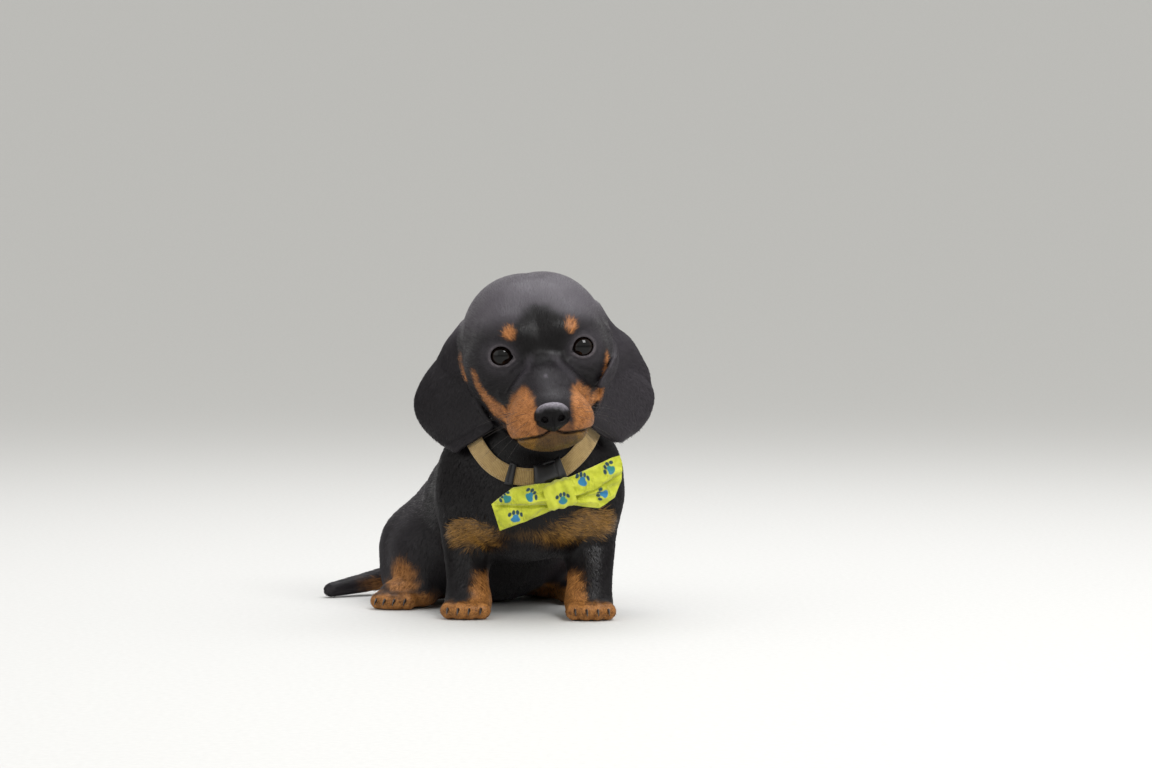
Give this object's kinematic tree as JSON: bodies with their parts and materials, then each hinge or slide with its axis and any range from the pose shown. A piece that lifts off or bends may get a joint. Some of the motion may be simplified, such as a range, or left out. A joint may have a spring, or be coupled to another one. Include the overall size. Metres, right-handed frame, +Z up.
{
  "type": "dachshund puppy",
  "caption": "Life-size still model of a sitting smooth-haired dachshund puppy, black with tan markings, in a webbing collar with a bow tie.",
  "frame": {"origin": "middle of the bounding box, on the floor", "axes": "-Y is the way the chest and the muzzle face, +Z is up, +X is the dog's own left"},
  "size_m": [0.1908, 0.2162, 0.1914],
  "materials": {
    "coat_black": "short glossy black coat",
    "coat_tan": "short tan coat over black, on the legs and paws",
    "nose_leather": "moist black nose skin",
    "eye": "dark brown eye under a clear cornea",
    "webbing": "woven tan webbing",
    "buckle_plastic": "black moulded plastic",
    "bow_cloth": "yellow-green printed cotton"
  },
  "bodies": {
    "root": {"head": "coat_black", "lower_jaw": "coat_tan", "nose": "nose_leather", "neck": "coat_black", "torso": "coat_black", "tail": "coat_black", "ear_left": "coat_black", "ear_right": "coat_black", "eye_left": "eye", "eye_right": "eye", "foreleg_left": "coat_black", "foreleg_right": "coat_black", "forepaw_left": "coat_tan", "forepaw_right": "coat_tan", "hindleg_left": "coat_black", "hindleg_right": "coat_black", "hindpaw_left": "coat_tan", "hindpaw_right": "coat_tan", "collar": "webbing", "collar_buckle": "buckle_plastic", "collar_slider": "buckle_plastic", "bow_knot": "bow_cloth", "bow_wing_left": "bow_cloth", "bow_wing_right": "bow_cloth"}
  },
  "joints": []
}
